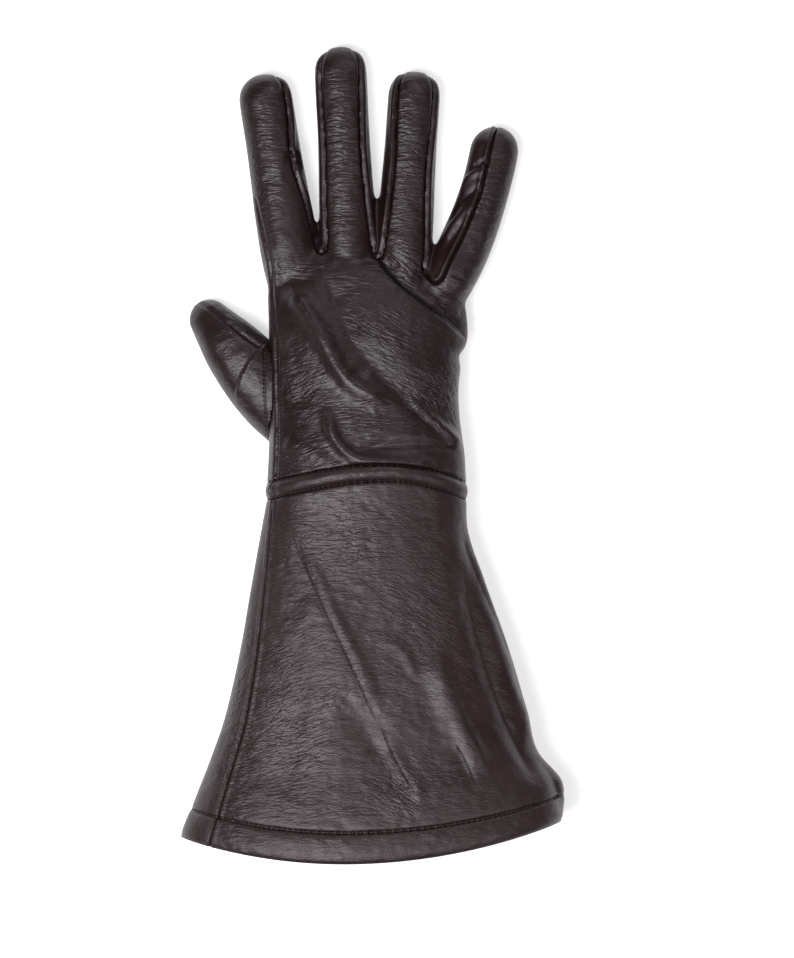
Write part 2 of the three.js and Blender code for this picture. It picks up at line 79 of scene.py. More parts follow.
hand_rows = table(
    "at left right top low seam",
    (0.00, 1.000, 1.000, 1.00, 0.05, 0.910),
    (0.12, 0.985, 0.985, 0.97, 0.03, 0.910),
    (0.28, 0.980, 0.935, 0.92, -0.02, 0.910),
    (0.42, 0.985, 0.925, 0.89, -0.03, 0.915),
    (0.54, 0.985, 0.945, 0.86, -0.03, 0.920),
    (0.63, 0.985, 0.930, 0.83, -0.03, 0.930),
    (0.70, 0.985, 0.985, 0.78, -0.03, 0.940),
    (0.82, 0.995, 1.020, 0.70, -0.03, 0.955),
    (0.92, 0.980, 1.000, 0.62, -0.03, 0.975),
    (1.00, 0.920, 0.930, 0.48, -0.02, 1.060),
)
cuff_rows = table(
    "at left right top low seam",
    (0.00, 0.525, 0.525, 0.695, 0.035, 0.940),
    (0.10, 0.557, 0.535, 0.700, 0.045, 0.910),
    (0.25, 0.604, 0.620, 0.730, 0.050, 0.880),
    (0.45, 0.665, 0.742, 0.790, 0.040, 0.860),
    (0.65, 0.745, 0.842, 0.860, 0.020, 0.850),
    (0.78, 0.825, 0.900, 0.910, 0.000, 0.850),
    (0.88, 0.895, 1.030, 0.960, -0.030, 0.845),
    (1.00, 0.975, 1.022, 1.000, -0.030, 0.840),
)
finger_rows = table(
    "at wide high",
    (-0.34, 0.80, 0.82),
    (-0.15, 0.96, 0.98),
    (0.00, 1.01, 1.00),
    (0.12, 1.01, 0.96),
    (0.22, 1.00, 0.93),
    (0.40, 0.96, 0.88),
    (0.60, 0.93, 0.84),
    (0.82, 0.93, 0.78),
    (1.00, 0.91, 0.72),
)
thumb_rows = table(
    "at wide high",
    (0.00, 0.90, 0.92),
    (0.20, 1.00, 1.00),
    (0.40, 0.98, 1.00),
    (0.64, 0.84, 0.93),
    (0.80, 0.66, 0.80),
    (0.92, 0.52, 0.62),
    (1.00, 0.44, 0.50),
)
print("glove length", round(hand_length + finger_length + cuff_length + band_width), "mm or more")


# %% Reading a table, and the shape of one section
def read(rows, column, at):
    """A column at any place, on a smooth curve through the table's rows."""
    places, values = rows["at"], rows[column]
    last = len(places) - 1
    row = np.arange(last + 1)
    before, after = np.maximum(row - 1, 0), np.minimum(row + 1, last)
    slopes = (values[after] - values[before]) / (places[after] - places[before])
    i = np.clip(np.searchsorted(places, at, "right") - 1, 0, last - 1)
    span = places[i + 1] - places[i]
    t = np.clip((at - places[i]) / span, 0, 1)
    risen = t * t * (3 - 2 * t)
    lean = slopes[i] * span * t * (1 - t) ** 2 - slopes[i + 1] * span * t * t * (1 - t)
    return values[i] + (values[i + 1] - values[i]) * risen + lean


def smooth(x, low, high):
    """0 below low, 1 above high and an even curve between them."""
    t = np.clip((x - low) / (high - low), 0, 1)
    return t * t * (3 - 2 * t)


def section(turn, left, right, top, low):
    """A point on a rounded section. turn goes round once, starting at +X."""
    c, s = np.cos(2 * np.pi * turn), np.sin(2 * np.pi * turn)
    power = np.where(s > 0, 2 / back_squareness, 2 / palm_squareness)
    middle = (top + low) / 2
    x = np.sign(c) * np.abs(c) ** power * np.where(c > 0, right, left)
    return x, middle + np.sign(s) * np.abs(s) ** power * (top - middle)


def bow(x, half, amount):
    """How far a seam across the glove bows towards the fingers, at x."""
    u = np.clip(x / half, -1, 1)
    return amount * (1 - u * u) * (1 + np.where(amount > 0, wrist_arc_skew, 0) * u)


# %% [markdown]
# Leather doesn't drape like cloth. It keeps a few long rolls where the hand bends, and each has
# a soft side and a steeper one. Displacing the finished skin by a few drawn folds gives those at
# any place, where sculpting would need a hand and cloth simulation would give too many. Each fold
# is a line seen from above. It has a rise in millimetres, negative for a valley, and a width on
# the left and on the right of its direction.

# %% Folds of the back of the hand and of the cuff
photo_scale, photo_wrist = 0.45, (366.5, 483.0)


def photo_line(*points):
    """Points read off the photo, in millimetres from the middle of the wrist seam."""
    return (np.array(points, float) - photo_wrist) * (photo_scale, -photo_scale)


def steps(points):
    """The lengths of a line's pieces."""
    return np.linalg.norm(np.diff(points, axis=0), axis=1)


def spline(points, count):
    """A smooth line through points, evenly spaced along its length."""
    padded = np.vstack([points[0], points, points[-1]])
    fine = []
    for p0, p1, p2, p3 in zip(padded, padded[1:], padded[2:], padded[3:]):
        for t in np.linspace(0, 1, 24, endpoint=False):
            a, b = 2 * p1, p2 - p0
            c, d = 2 * p0 - 5 * p1 + 4 * p2 - p3, 3 * p1 - p0 - 3 * p2 + p3
            fine.append((a + b * t + c * t * t + d * t ** 3) / 2)
    fine = np.array(fine + [points[-1]])
    run = np.concatenate([[0], np.cumsum(steps(fine))])
    even = np.linspace(0, run[-1], count)
    return np.stack([np.interp(even, run, fine[:, i]) for i in range(2)], axis=1)


def fold(rise, left, right, *points):
    """One fold: its rise and its two widths in millimetres, and its line."""
    return {"rise": rise, "left": left, "right": right, "line": spline(photo_line(*points), 18)}


hand_folds = [
    fold(-2.4, 5.5, 0.9, (374, 250), (400, 283), (420, 298), (440, 313), (455, 325), (466, 338)),
    fold(0.9, 1.2, 7.0, (388, 272), (412, 298), (436, 316), (460, 336)),
    fold(3.0, 4.0, 4.2, (280, 284), (298, 298), (318, 330), (332, 356), (346, 378),
         (364, 392), (392, 402)),
    fold(-1.9, 9.0, 3.6, (323, 262), (334, 300), (350, 335), (368, 362), (394, 390),
         (422, 414), (450, 440)),
    fold(1.6, 2.2, 2.0, (408, 398), (430, 416), (450, 434), (464, 448)),
    fold(2.2, 2.6, 2.8, (324, 404), (333, 435), (346, 452), (362, 460), (400, 463), (440, 463)),
    fold(-1.9, 2.4, 2.2, (356, 448), (385, 446), (420, 445), (456, 446)),
    fold(-0.9, 5.0, 4.0, (272, 286), (300, 281), (322, 263)),
    fold(-0.8, 5.0, 5.0, (284, 330), (298, 370), (301, 412)),
    fold(0.8, 4.0, 4.0, (282, 440), (305, 452), (330, 462)),
    fold(-0.9, 1.2, 4.0, (436, 296), (452, 300), (470, 310)),
    fold(-1.3, 0.9, 2.6, (286, 150), (294, 156), (302, 165)),
    fold(1.0, 2.0, 2.0, (296, 146), (301, 156), (305, 168)),
    fold(-1.5, 0.9, 1.6, (472, 164), (480, 162), (488, 158)),
    fold(1.1, 1.0, 2.0, (458, 192), (468, 176), (486, 165)),
    fold(-1.3, 1.2, 1.6, (448, 222), (462, 198), (482, 184)),
    fold(1.1, 1.2, 2.4, (444, 240), (456, 218), (474, 202)),
    fold(-0.9, 1.6, 1.6, (440, 256), (452, 236), (466, 220)),
    fold(-0.8, 1.2, 1.2, (464, 268), (478, 272), (492, 270)),
]
cuff_folds = [
    fold(0.7, 2.4, 4.5, (300, 540), (334, 612), (362, 668), (378, 710)),
    fold(-0.6, 2.0, 1.6, (291, 536), (326, 612), (352, 664), (371, 706), (384, 730)),
    fold(2.4, 4.0, 7.0, (434, 650), (452, 700), (469, 736), (488, 772)),
    fold(-2.8, 6.0, 5.0, (462, 560), (480, 640), (501, 705), (528, 762), (545, 790)),
    fold(1.4, 2.4, 3.6, (472, 540), (490, 600), (508, 654), (526, 708), (542, 752)),
    fold(-1.5, 1.4, 2.4, (462, 524), (469, 552), (484, 590), (500, 628), (514, 668), (528, 716)),
    fold(-1.5, 5.5, 7.0, (342, 690), (358, 716), (384, 758), (408, 796)),
    fold(1.0, 3.0, 2.4, (390, 742), (402, 766), (424, 796)),
    fold(0.8, 2.2, 2.2, (388, 640), (404, 652), (416, 676)),
    fold(-0.7, 1.6, 3.0, (455, 744), (463, 760), (474, 782)),
    fold(1.0, 14.0, 14.0, (290, 600), (330, 640), (360, 720)),
    fold(-1.0, 7.0, 9.0, (300, 700), (292, 760), (282, 800)),
    fold(-2.0, 1.2, 4.0, (545, 752), (556, 778), (563, 800), (564, 815)),
]
print(len(hand_folds), "folds on the hand,", len(cuff_folds), "on the cuff")


def along_line(points, x, y):
    """Signed distance to a line, positive on its left, and the share along the line."""
    best, sign, share = np.full(x.shape, 1e9), np.ones(x.shape), np.zeros(x.shape)
    lengths = steps(points)
    run = np.concatenate([[0], np.cumsum(lengths)]) / lengths.sum()
    for i, (start, end) in enumerate(zip(points, points[1:])):
        way = end - start
        t = np.clip(((x - start[0]) * way[0] + (y - start[1]) * way[1]) / (way @ way), 0, 1)
        dx, dy = x - start[0] - way[0] * t, y - start[1] - way[1] * t
        away = np.hypot(dx, dy)
        closer = away < best
        best = np.where(closer, away, best)
        sign = np.where(closer, np.sign(way[0] * dy - way[1] * dx), sign)
        share = np.where(closer, run[i] + t * (run[i + 1] - run[i]), share)
    return best * np.where(sign == 0, 1, sign), share


ridge_roundness, valley_roundness = 2.2, 1.5


def fold_rise(folds, x, y):
    """How far the folds lift the leather at x, y, in millimetres."""
    total = np.zeros(x.shape)
    for each in folds:
        away, share = along_line(each["line"], x, y)
        wide = np.where(away > 0, each["left"], each["right"])
        fade = smooth(share, 0, 0.18) * (1 - smooth(share, 0.86, 1)) * 0.85 + 0.15
        roundness = ridge_roundness if each["rise"] > 0 else valley_roundness
        total += each["rise"] * fade * np.exp(-(np.abs(away / wide) ** roundness))
    return total


# %% Surfaces of the hand, the cuff and the fingers
def hand_point(share, turn, inset):
    """A point of the hand's tube: share from wrist to knuckles, turn round it, inset inwards."""
    half = wrist_width / 2
    left = read(hand_rows, "left", share) * half - inset
    right = read(hand_rows, "right", share) * half - inset
    top = read(hand_rows, "top", share) * wrist_height - inset
    low = read(hand_rows, "low", share) * wrist_height + inset
    x, z = section(turn, left, right, top, low)
    lean = smooth(share, 0.35, 1) * (root_lean * x + root_bend * x * x / wrist_width)
    web = smooth(share, 0.8, 1) * web_reach * (1 - z / top)
    arc = bow(x, half, wrist_arc) * (1 - smooth(share, 0, 0.6))
    y = share * hand_length + lean + web + arc
    return np.stack([x, y, np.maximum(z, inset)], axis=-1)


def cuff_point(along, turn, inset):
    """A point of the cuff's or the band's tube, at along from the wrist seam towards the hem."""
    share = (along - band_width) / cuff_length
    half = mouth_width / 2
    left, right = read(cuff_rows, "left", share) * half, read(cuff_rows, "right", share) * half
    top = read(cuff_rows, "top", share) * mouth_height - inset
    low = read(cuff_rows, "low", share) * mouth_height + inset
    x, z = section(turn, left - inset, right - inset, top, low)
    grown = np.clip(share, 0, 1)
    amount = wrist_arc + (mouth_arc - wrist_arc) * grown
    arc = bow(x, np.where(x > 0, right, left), amount)
    y = arc + grown * mouth_tilt * x / half - along
    return np.stack([x, y, np.maximum(z, max(inset, 0))], axis=-1)


class Digit:
    """A finger or the thumb: its axis turns evenly from lean to tip_lean, in degrees."""

    def __init__(self, name, root, length, width, height, tip, leans, rows):
        self.name, self.length, self.width, self.height = name, length, width, height
        self.tip, self.rows, self.leans = tip, rows, leans
        self.steps = np.linspace(-0.4, 1.2, 321)
        angle = np.radians(leans[0] + (leans[1] - leans[0]) * np.maximum(self.steps, 0))
        step = length * (self.steps[1] - self.steps[0])
        walk = np.cumsum(np.stack([np.sin(angle), np.cos(angle)]) * step, axis=1)
        start = np.array([np.interp(0, self.steps, row) for row in walk])
        self.walk = walk - start[:, None] + np.array(root)[:, None]

    def axis(self, share):
        angle = np.radians(self.leans[0] + (self.leans[1] - self.leans[0]) * np.maximum(share, 0))
        centre = np.stack([np.interp(share, self.steps, row) for row in self.walk], axis=-1)
        return centre, np.stack([np.cos(angle), -np.sin(angle)], axis=-1)

    def on_back(self, share, off):
        centre, side = self.axis(np.asarray(share, float))
        reach = np.asarray(off) * self.width * read(self.rows, "wide", np.asarray(share, float)) / 2
        return centre + side * reach[..., None]

    def point(self, share, turn, inset):
        left = np.maximum((1 - share) * self.length - inset, 0)
        round_end = np.sqrt(1 - np.maximum(0, 1 - left / (self.tip - inset * 0.5)) ** 2)
        wide = self.width / 2 * read(self.rows, "wide", share)
        high = self.height * read(self.rows, "high", share)
        middle = high * 0.45
        w, up = (wide - inset) * round_end, (high - middle - inset) * round_end
        down = (middle * 1.07 - inset) * round_end
        x, z = section(turn, w, w, middle + up, middle - down)
        centre, side = self.axis(share)
        plan = centre + side * x[..., None]
        return np.concatenate([plan, np.maximum(z, inset)[..., None]], axis=-1)


def finger(name, root_x, root_y, length, width, lean, tip_lean, tip):
    wide = width * finger_breadth
    root = (root_x * wrist_width / 2, root_y * hand_length)
    long, leans = length * finger_length, (lean, tip_lean)
    return Digit(name, root, long, wide, finger_height, tip * wide, leans, finger_rows)


fingers = {
    digit.name: digit
    for digit in (
        finger("index", -0.782, 1.021, 0.884, 1.045, -8.9, -8.9, 0.42),
        finger("middle", -0.18, 1.021, 1.012, 1.01, -2.6, -2.6, 0.44),
        finger("ring", 0.368, 1.0, 0.914, 1.015, 3.9, 3.9, 0.42),
        finger("little", 0.87, 0.926, 0.757, 0.95, 27.0, 8.0, 0.47),
    )
}
thumb = Digit("thumb", (-31.5, 27.04), 71.0, 33.0, thumb_height, 6.5, (-41.5, -38.5), thumb_rows)

# %% [markdown]
# A cutter's glove is sewn from flat leather: back and palm are one piece, and a narrow strip, the
# fourchette, goes up and down between two fingers. To get a skin that flows from the back of the
# hand into the fingers, the hand and four fingers are lofted as separate closed tubes, joined, and
# remeshed into one form. Lofting gives exact sections, and the remesh rounds the crotches as
# stretched leather does. A subdivided cage would need hand-placed poles at each finger's root.

# %% Tubes, remeshing and booleans
deps = bpy.context.evaluated_depsgraph_get


def new_object(name, mesh):
    piece = bpy.data.objects.new(name, mesh)
    bpy.context.scene.collection.objects.link(piece)
    return piece


def object_from(name, bm):
    mesh = bpy.data.meshes.new(name)
    bm.to_mesh(mesh)
    bm.free()
    return new_object(name, mesh)


def coordinates(mesh):
    flat = np.empty(len(mesh.vertices) * 3)
    mesh.vertices.foreach_get("co", flat)
    return flat.reshape(-1, 3)


def normals_of(piece):
    return np.array([v.normal[:] for v in piece.data.vertices])


def set_coordinates(mesh, points):
    mesh.vertices.foreach_set("co", points.ravel())
    mesh.update()


def grid(around, along, place):
    """A bmesh grid whose points are moved by place(u, v), both from 0 to 1."""
    bm = bmesh.new()
    bmesh.ops.create_grid(bm, x_segments=around, y_segments=along, size=0.5)
    uv = np.array([v.co[:2] for v in bm.verts]) + 0.5
    for vert, point in zip(bm.verts, place(uv[:, 0], uv[:, 1])):
        vert.co = point
    return bm


def closed_tube(name, around, along, place):
    bm = grid(around, along, place)
    bmesh.ops.remove_doubles(bm, verts=bm.verts, dist=1e-4)
    rim = [edge for edge in bm.edges if edge.is_boundary]
    bmesh.ops.holes_fill(bm, edges=rim, sides=0)
    bmesh.ops.triangulate(bm, faces=[face for face in bm.faces if len(face.verts) > 4])
    bmesh.ops.recalc_face_normals(bm, faces=bm.faces)
    return object_from(name, bm)


def applied(piece, name=None):
    """Bakes a piece's modifiers into a new mesh."""
    mesh = bpy.data.meshes.new_from_object(piece.evaluated_get(deps()))
    baked = new_object(name or piece.name, mesh)
    bpy.data.objects.remove(piece)
    return baked


def one_skin(name, tubes, voxel, passes):
    """Joins closed tubes into one smooth closed skin."""
    bm = bmesh.new()
    for tube in tubes:
        bm.from_mesh(tube.data)
        bpy.data.objects.remove(tube)
    skin = object_from(name, bm)
    remesh = skin.modifiers.new("remesh", "REMESH")
    remesh.mode, remesh.voxel_size = "VOXEL", voxel
    skin = applied(skin, name)
    bm = bmesh.new()
    bm.from_mesh(skin.data)
    axes = {"use_axis_x": True, "use_axis_y": True, "use_axis_z": True}
    for unused in range(passes):
        bmesh.ops.smooth_vert(bm, verts=bm.verts, factor=0.5, **axes)
    bm.to_mesh(skin.data)
    bm.free()
    print(name, len(skin.data.polygons), "faces")
    return skin


def combine(piece, operation, cutter):
    boolean = piece.modifiers.new("boolean", "BOOLEAN")
    boolean.operation, boolean.solver, boolean.object = operation, "MANIFOLD", cutter
    return applied(piece, piece.name)


def copy_of(piece, name):
    return new_object(name, piece.data.copy())


# %% The hand and its fingers as one skin, outside and inside
def hand_tube(name, inset, start):
    def place(u, v):
        share = start + (1 - start) * np.clip((v - 0.02) / 0.96, 0, 1)
        share = share - np.where(share > 0.9, (share - 0.9) / 0.1 * inset * 1.4 / hand_length, 0)
        points = hand_point(share, u, inset)
        middle = hand_point(share, u * 0, inset)[:, 2]
        flat = np.where((v < 0.01) | (v > 0.99), 1.0, 0.0)
        points[:, 2] = points[:, 2] * (1 - flat) + middle * flat
        return points

    return closed_tube(name, 112, 72, place)


def digit_tube(digit, inset):
    first = digit.rows["at"][0]

    def place(u, v):
        body = 1 - digit.tip / digit.length
        end = 1 - inset / digit.length
        tip = body + (end - body) * np.sin(np.clip((v - 0.75) / 0.25, 0, 1) * np.pi / 2)
        share = np.where(v < 0.75, first + (body - first) * v / 0.75, tip)
        return digit.point(share, u, inset)

    return closed_tube(digit.name, 40, 52, place)


def lift_folds(skin, folds):
    """Moves the upper side of a skin by its folds, along its own normals."""
    points = coordinates(skin.data)
    normals = normals_of(skin)
    up = smooth(normals[:, 2], 0.05, 0.6)
    rise = fold_rise(folds, points[:, 0], points[:, 1]) * up
    points += normals * rise[:, None]
    set_coordinates(skin.data, points)


def hand_and_fingers(name, inset, start, voxel, passes):
    tubes = [hand_tube("hand", inset, start)]
    tubes += [digit_tube(digit, inset) for digit in fingers.values()]
    return one_skin(name, tubes, voxel, passes)


outer = hand_and_fingers("outer", 0, -0.05, 1.0, 9)
inner = hand_and_fingers("inner", leather, -0.1, 1.8, 4)
lift_folds(outer, hand_folds)
lift_folds(inner, hand_folds)

# %% [markdown]
# The seams run where the photo shows them, as shares of half a finger's width. Seen from above,
# the space between two fingers' seams is a long V with a round bottom. A blade of that outline
# cuts the strips out of the skin, and a slightly larger one cuts the hand's own piece, so that
# the two never touch. For each crotch, drop is how far the V's bottom lies below the seams' ends
# and beyond is where a slit parts its two strips, both as shares of the hand's length. Skew moves
# the bottom towards the first finger.

# %% Seam lines between the fingers
seam_stations = (0.03, 0.25, 0.5, 0.75, 0.92, 1.0)
seam_offs = {
    ("index", "right"): (0.93, 0.81, 0.6, 0.76, 0.72, 0.42),
    ("middle", "left"): (-0.78, -0.77, -0.76, -0.82, -0.76, -0.42),
    ("middle", "right"): (0.82, 0.7, 0.64, 0.71, 0.72, 0.42),
    ("ring", "left"): (-0.7, -0.6, -0.57, -0.65, -0.62, -0.4),
    ("ring", "right"): (0.78, 0.69, 0.68, 0.76, 0.72, 0.42),
    ("little", "left"): (-0.24, -0.2, -0.14, -0.17, -0.14, -0.05),
}
Crotch = namedtuple("Crotch", "first second drop skew cross_on beyond strips")
crotches = (
    Crotch("index", "middle", 0.055, 0.0, "middle", 0.055, ("index", "middle_radial")),
    Crotch("middle", "ring", 0.065, 0.0, "ring", 0.14, ("middle_ulnar", "ring_radial")),
    Crotch("ring", "little", 0.13, 0.2, "ring", -0.03, ("ring_ulnar", "little")),
)
crotch_bends = ((0.13, 0.7), (0.5, 1.0), (0.87, 0.7))
kerf = 0.06
past_tip = 1.15


def finger_seam(name, side):
    """The seam on one side of a finger, from beyond its tip down to its root."""
    digit, offs = fingers[name], seam_offs[(name, side)]
    line_up = digit.on_back(np.array(seam_stations), np.array(offs))
    beyond = digit.on_back(past_tip, offs[-1])
    return np.vstack([beyond, line_up[::-1]])


def between(first, second, drop, skew):
    """The seam line of one crotch: down one finger, round the bottom and up the next."""
    down, up = finger_seam(first, "right"), finger_seam(second, "left")[::-1]
    across = up[0] - down[-1]
    bends = [
        down[-1] + across * (share - skew) - (0, depth * drop * hand_length)
        for share, depth in crotch_bends
    ]
    return np.vstack([down[0], spline(np.vstack([down[1:], *bends, up[:-1]]), 110), up[-1]])


def grown(outline, by):
    """An outline moved outwards."""
    ahead, behind = np.roll(outline, -1, axis=0), np.roll(outline, 1, axis=0)
    way = ahead - behind
    way /= np.linalg.norm(way, axis=1)[:, None]
    return outline + np.stack([way[:, 1], -way[:, 0]], axis=1) * by


def blade(name, outline, low=-10.0, high=70.0):
    """An upright solid over an outline seen from above."""
    bm = bmesh.new()
    rim = [bm.verts.new((x, y, low)) for x, y in outline]
    foot = bm.faces.new(rim)
    raised = bmesh.ops.extrude_face_region(bm, geom=[foot])["geom"]
    top = [v for v in raised if isinstance(v, bmesh.types.BMVert)]
    bmesh.ops.translate(bm, verts=top, vec=(0, 0, high - low))
    bmesh.ops.triangulate(bm, faces=bm.faces, ngon_method="EAR_CLIP")
    bmesh.ops.recalc_face_normals(bm, faces=bm.faces)
    return object_from(name, bm)


def ribbon(points, thick):
    """The outline of a narrow slit along a line."""
    way = np.gradient(points, axis=0)
    way /= np.linalg.norm(way, axis=1)[:, None]
    side = np.stack([-way[:, 1], way[:, 0]], axis=1) * thick / 2
    return np.vstack([points + side, (points - side)[::-1]])


outlines = {c.first: between(c.first, c.second, c.drop, c.skew) for c in crotches}
stations = np.linspace(-0.05, 0.96, 14)
held = np.maximum(stations, 0)
side_x = -read(hand_rows, "seam", held) * read(hand_rows, "left", held) * wrist_width / 2
index_part = fingers["index"].on_back(np.array([0.2, 0.3]), np.array([-0.84, -0.9]))
side_seam = np.vstack([np.stack([side_x, stations * hand_length], axis=1), index_part])

# %% Cutting the skin into its pieces
thumb_outer = one_skin("thumb_outer", [digit_tube(thumb, 0)], 0.8, 2)
thumb_inner = one_skin("thumb_inner", [digit_tube(thumb, leather)], 1.6, 1)
shell = combine(copy_of(outer, "shell"), "DIFFERENCE", inner)
fewest_points = 60


def islands(piece):
    """The separate bodies of a mesh, as new objects from left to right."""
    bm = bmesh.new()
    bm.from_mesh(piece.data)
    bm.verts.ensure_lookup_table()
    seen, groups = set(), []
    for start in bm.verts:
        if start.index in seen:
            continue
        group, todo = [], [start]
        seen.add(start.index)
        while todo:
            vert = todo.pop()
            group.append(vert)
            for edge in vert.link_edges:
                other = edge.other_vert(vert)
                if other.index not in seen:
                    seen.add(other.index)
                    todo.append(other)
        groups.append({vert.index for vert in group})
    bodies = []
    for group in groups:
        if len(group) <= fewest_points:
            continue
        part = bm.copy()
        part.verts.ensure_lookup_table()
        others = [v for v in part.verts if v.index not in group]
        bmesh.ops.delete(part, geom=others, context="VERTS")
        bodies.append(object_from("body", part))
    bm.free()
    return sorted(bodies, key=lambda body: coordinates(body.data)[:, 0].mean())


# %% [markdown]
# The hand's piece is cut first at the wrist and at the thumb's way in. Each crotch then gives its
# V to the blade and its two strips to the pieces.

# %% The hand's piece and the six strips
pieces = {}
thumb_way = copy_of(thumb_inner, "thumb_way")
set_coordinates(thumb_way.data, coordinates(thumb_way.data) * (1, 1, 0.55) + (0, 0, 1.0))
across = np.linspace(wrist_width * 0.9, -wrist_width * 0.9, 90)
wrist_line = np.stack([across, bow(across, wrist_width / 2, wrist_arc)], axis=1)
below = blade("below", np.vstack([[(across[-1], -40), (across[0], -40)], wrist_line]))
trank = combine(copy_of(shell, "trank"), "DIFFERENCE", thumb_way)
trank = combine(trank, "DIFFERENCE", below)
for crotch in crotches:
    outline = outlines[crotch.first]
    cutter = blade("cutter", outline)
    strip = combine(copy_of(shell, "strip"), "INTERSECT", cutter)
    wider = blade("wider", grown(outline, kerf))
    trank = combine(trank, "DIFFERENCE", wider)
    digit = fingers[crotch.cross_on]
    offs = np.array([-1.2, -0.2] if crotch.cross_on == crotch.second else [0.2, 1.2])
    cross_at = (web_reach + crotch.beyond * hand_length) / digit.length
    slit = blade("slit", ribbon(digit.on_back(np.full(2, cross_at), offs), kerf))
    strip = combine(strip, "DIFFERENCE", slit)
    bodies = islands(strip)
    if len(bodies) < 2:
        raise ValueError(f"the strip beside the {crotch.first} finger isn't cut through")
    for beside, body in zip(crotch.strips, [bodies[0], bodies[-1]]):
        name = f"fourchette_{beside}"
        body.name = name
        pieces[name] = body
    for spare in (cutter, wider, slit, strip, *bodies[1:-1]):
        bpy.data.objects.remove(spare)
trank.name = "trank"
pieces["trank"] = trank
print("trank", len(trank.data.vertices), "vertices")

# %% [markdown]
# A sewn seam in glove leather is turned inside, so both edges roll down into a narrow groove, and
# just beside it the leather stands up in a soft welt. The cut edges here are sharp, so the points
# near a seam are first made closer together and then moved along the skin's normal: down at the
# seam, slightly up a little way off.

# %% Rolled edges along every seam
def tree_of(piece):
    mesh = piece.data
    corners = [polygon.vertices[:] for polygon in mesh.polygons]
    return BVHTree.FromPolygons([v.co[:] for v in mesh.vertices], corners)


def seam_distance(lines, x, y):
    return np.min([np.abs(along_line(points, x, y)[0]) for points in lines], axis=0)


def on_skin(tree, point, reach=0.35):
    """The skin's normal beside a point, or None where the point isn't on the skin."""
    found, normal, unused, distance = tree.find_nearest(Vector(point))
    return normal if distance < reach else None


def refine(piece, lines, tree, reach, longest):
    """Halves the long edges of the outside that are near a seam."""
    bm = bmesh.new()
    bm.from_mesh(piece.data)
    points = np.array([v.co[:] for v in bm.verts])
    near = seam_distance(lines, points[:, 0], points[:, 1]) < reach
    for i in np.nonzero(near)[0]:
        near[i] = on_skin(tree, points[i]) is not None
    chosen = [
        edge
        for edge in bm.edges
        if all(near[v.index] for v in edge.verts) and edge.calc_length() > longest
    ]
    bmesh.ops.subdivide_edges(bm, edges=chosen, cuts=1, use_grid_fill=True)
    bmesh.ops.triangulate(bm, faces=[f for f in bm.faces if len(f.verts) > 4])
    bm.to_mesh(piece.data)
    bm.free()


welt_away, welt_half, groove_half = 1.5, 0.9, 0.55


def roll_edges(piece, lines, tree, depth, welt, upper_only=False):
    """Sinks the outside at its seams and raises a welt beside them."""
    points = coordinates(piece.data)
    away = seam_distance(lines, points[:, 0], points[:, 1])
    moved = points.copy()
    for i in np.nonzero(away < 6)[0]:
        normal = on_skin(tree, points[i])
        if normal is None or (upper_only and normal.z < 0.1):
            continue
        flat = min(max(normal.z, 0.0) / 0.7 + 0.25, 1.0)
        raised = welt * math.exp(-(((away[i] - welt_away) / welt_half) ** 2))
        sunken = depth * math.exp(-((away[i] / groove_half) ** 2))
        moved[i] += np.array(normal) * (raised - sunken) * flat
    set_coordinates(piece.data, moved)


seam_lines = list(outlines.values())
outer_tree = tree_of(outer)
near_a_seam, longest_edge = 2.2, 0.7
for name, piece in pieces.items():
    depth, welt = (1.3, 0.15) if name == "trank" else (1.0, 0.9)
    refine(piece, seam_lines, outer_tree, near_a_seam, longest_edge)
    roll_edges(piece, seam_lines, outer_tree, depth, welt)
refine(pieces["trank"], [side_seam, wrist_line], outer_tree, near_a_seam, longest_edge)
roll_edges(pieces["trank"], [wrist_line], outer_tree, 0.8, 0.3)
roll_edges(pieces["trank"], [side_seam], outer_tree, 0.8, 0.35, upper_only=True)

# %% [markdown]
# The thumb is one folded piece, closed by a seam that runs from its tip to its base, and set into
# the palm under the hand's edge. Its skin is the same kind of tube, cut away where the hand's
# skin begins.

# %% Thumb
thumb_seam = photo_line((186, 296), (199, 303), (208, 308), (228, 323), (247, 338), (259, 346))
thumb_fold = photo_line((268, 342), (258, 350), (248, 362), (240, 377), (235, 394), (234, 404))


def shape_thumb(skin):
    points = coordinates(skin.data)
    normals = normals_of(skin)
    up = smooth(normals[:, 2], 0.0, 0.4)
    x, y = points[:, 0], points[:, 1]
    groove, unused = along_line(thumb_seam, x, y)
    ridge, share = along_line(thumb_fold, x, y)
    rise = 0.4 * np.exp(-(((np.abs(groove) - 1.7) / 0.9) ** 2))
    rise -= 0.9 * np.exp(-((groove / groove_half) ** 2))
    ends = smooth(share, 0, 0.1) * (1 - smooth(share, 0.75, 1))
    rise += 1.3 * ends * smooth(ridge, -0.6, 0.7) * np.exp(-np.maximum(ridge, 0) / 4)
    points += normals * (rise * up)[:, None]
    set_coordinates(skin.data, points)


shape_thumb(thumb_outer)
wide_hand = copy_of(outer, "wide_hand")
points = coordinates(wide_hand.data)
points += normals_of(wide_hand) * seam_gap
set_coordinates(wide_hand.data, points)
thumb_piece = combine(copy_of(thumb_outer, "thumb_piece"), "DIFFERENCE", thumb_inner)
thumb_piece = combine(thumb_piece, "DIFFERENCE", wide_hand)
bodies = islands(thumb_piece)
bodies.sort(key=lambda body: -len(body.data.vertices))
pieces["thumb"] = bodies[0]
used_up = (below, thumb_piece, wide_hand, thumb_outer, thumb_inner, thumb_way, shell, outer, inner)
for spare in (*used_up, *bodies[1:]):
    bpy.data.objects.remove(spare)
print("thumb", len(pieces["thumb"].data.vertices), "vertices")

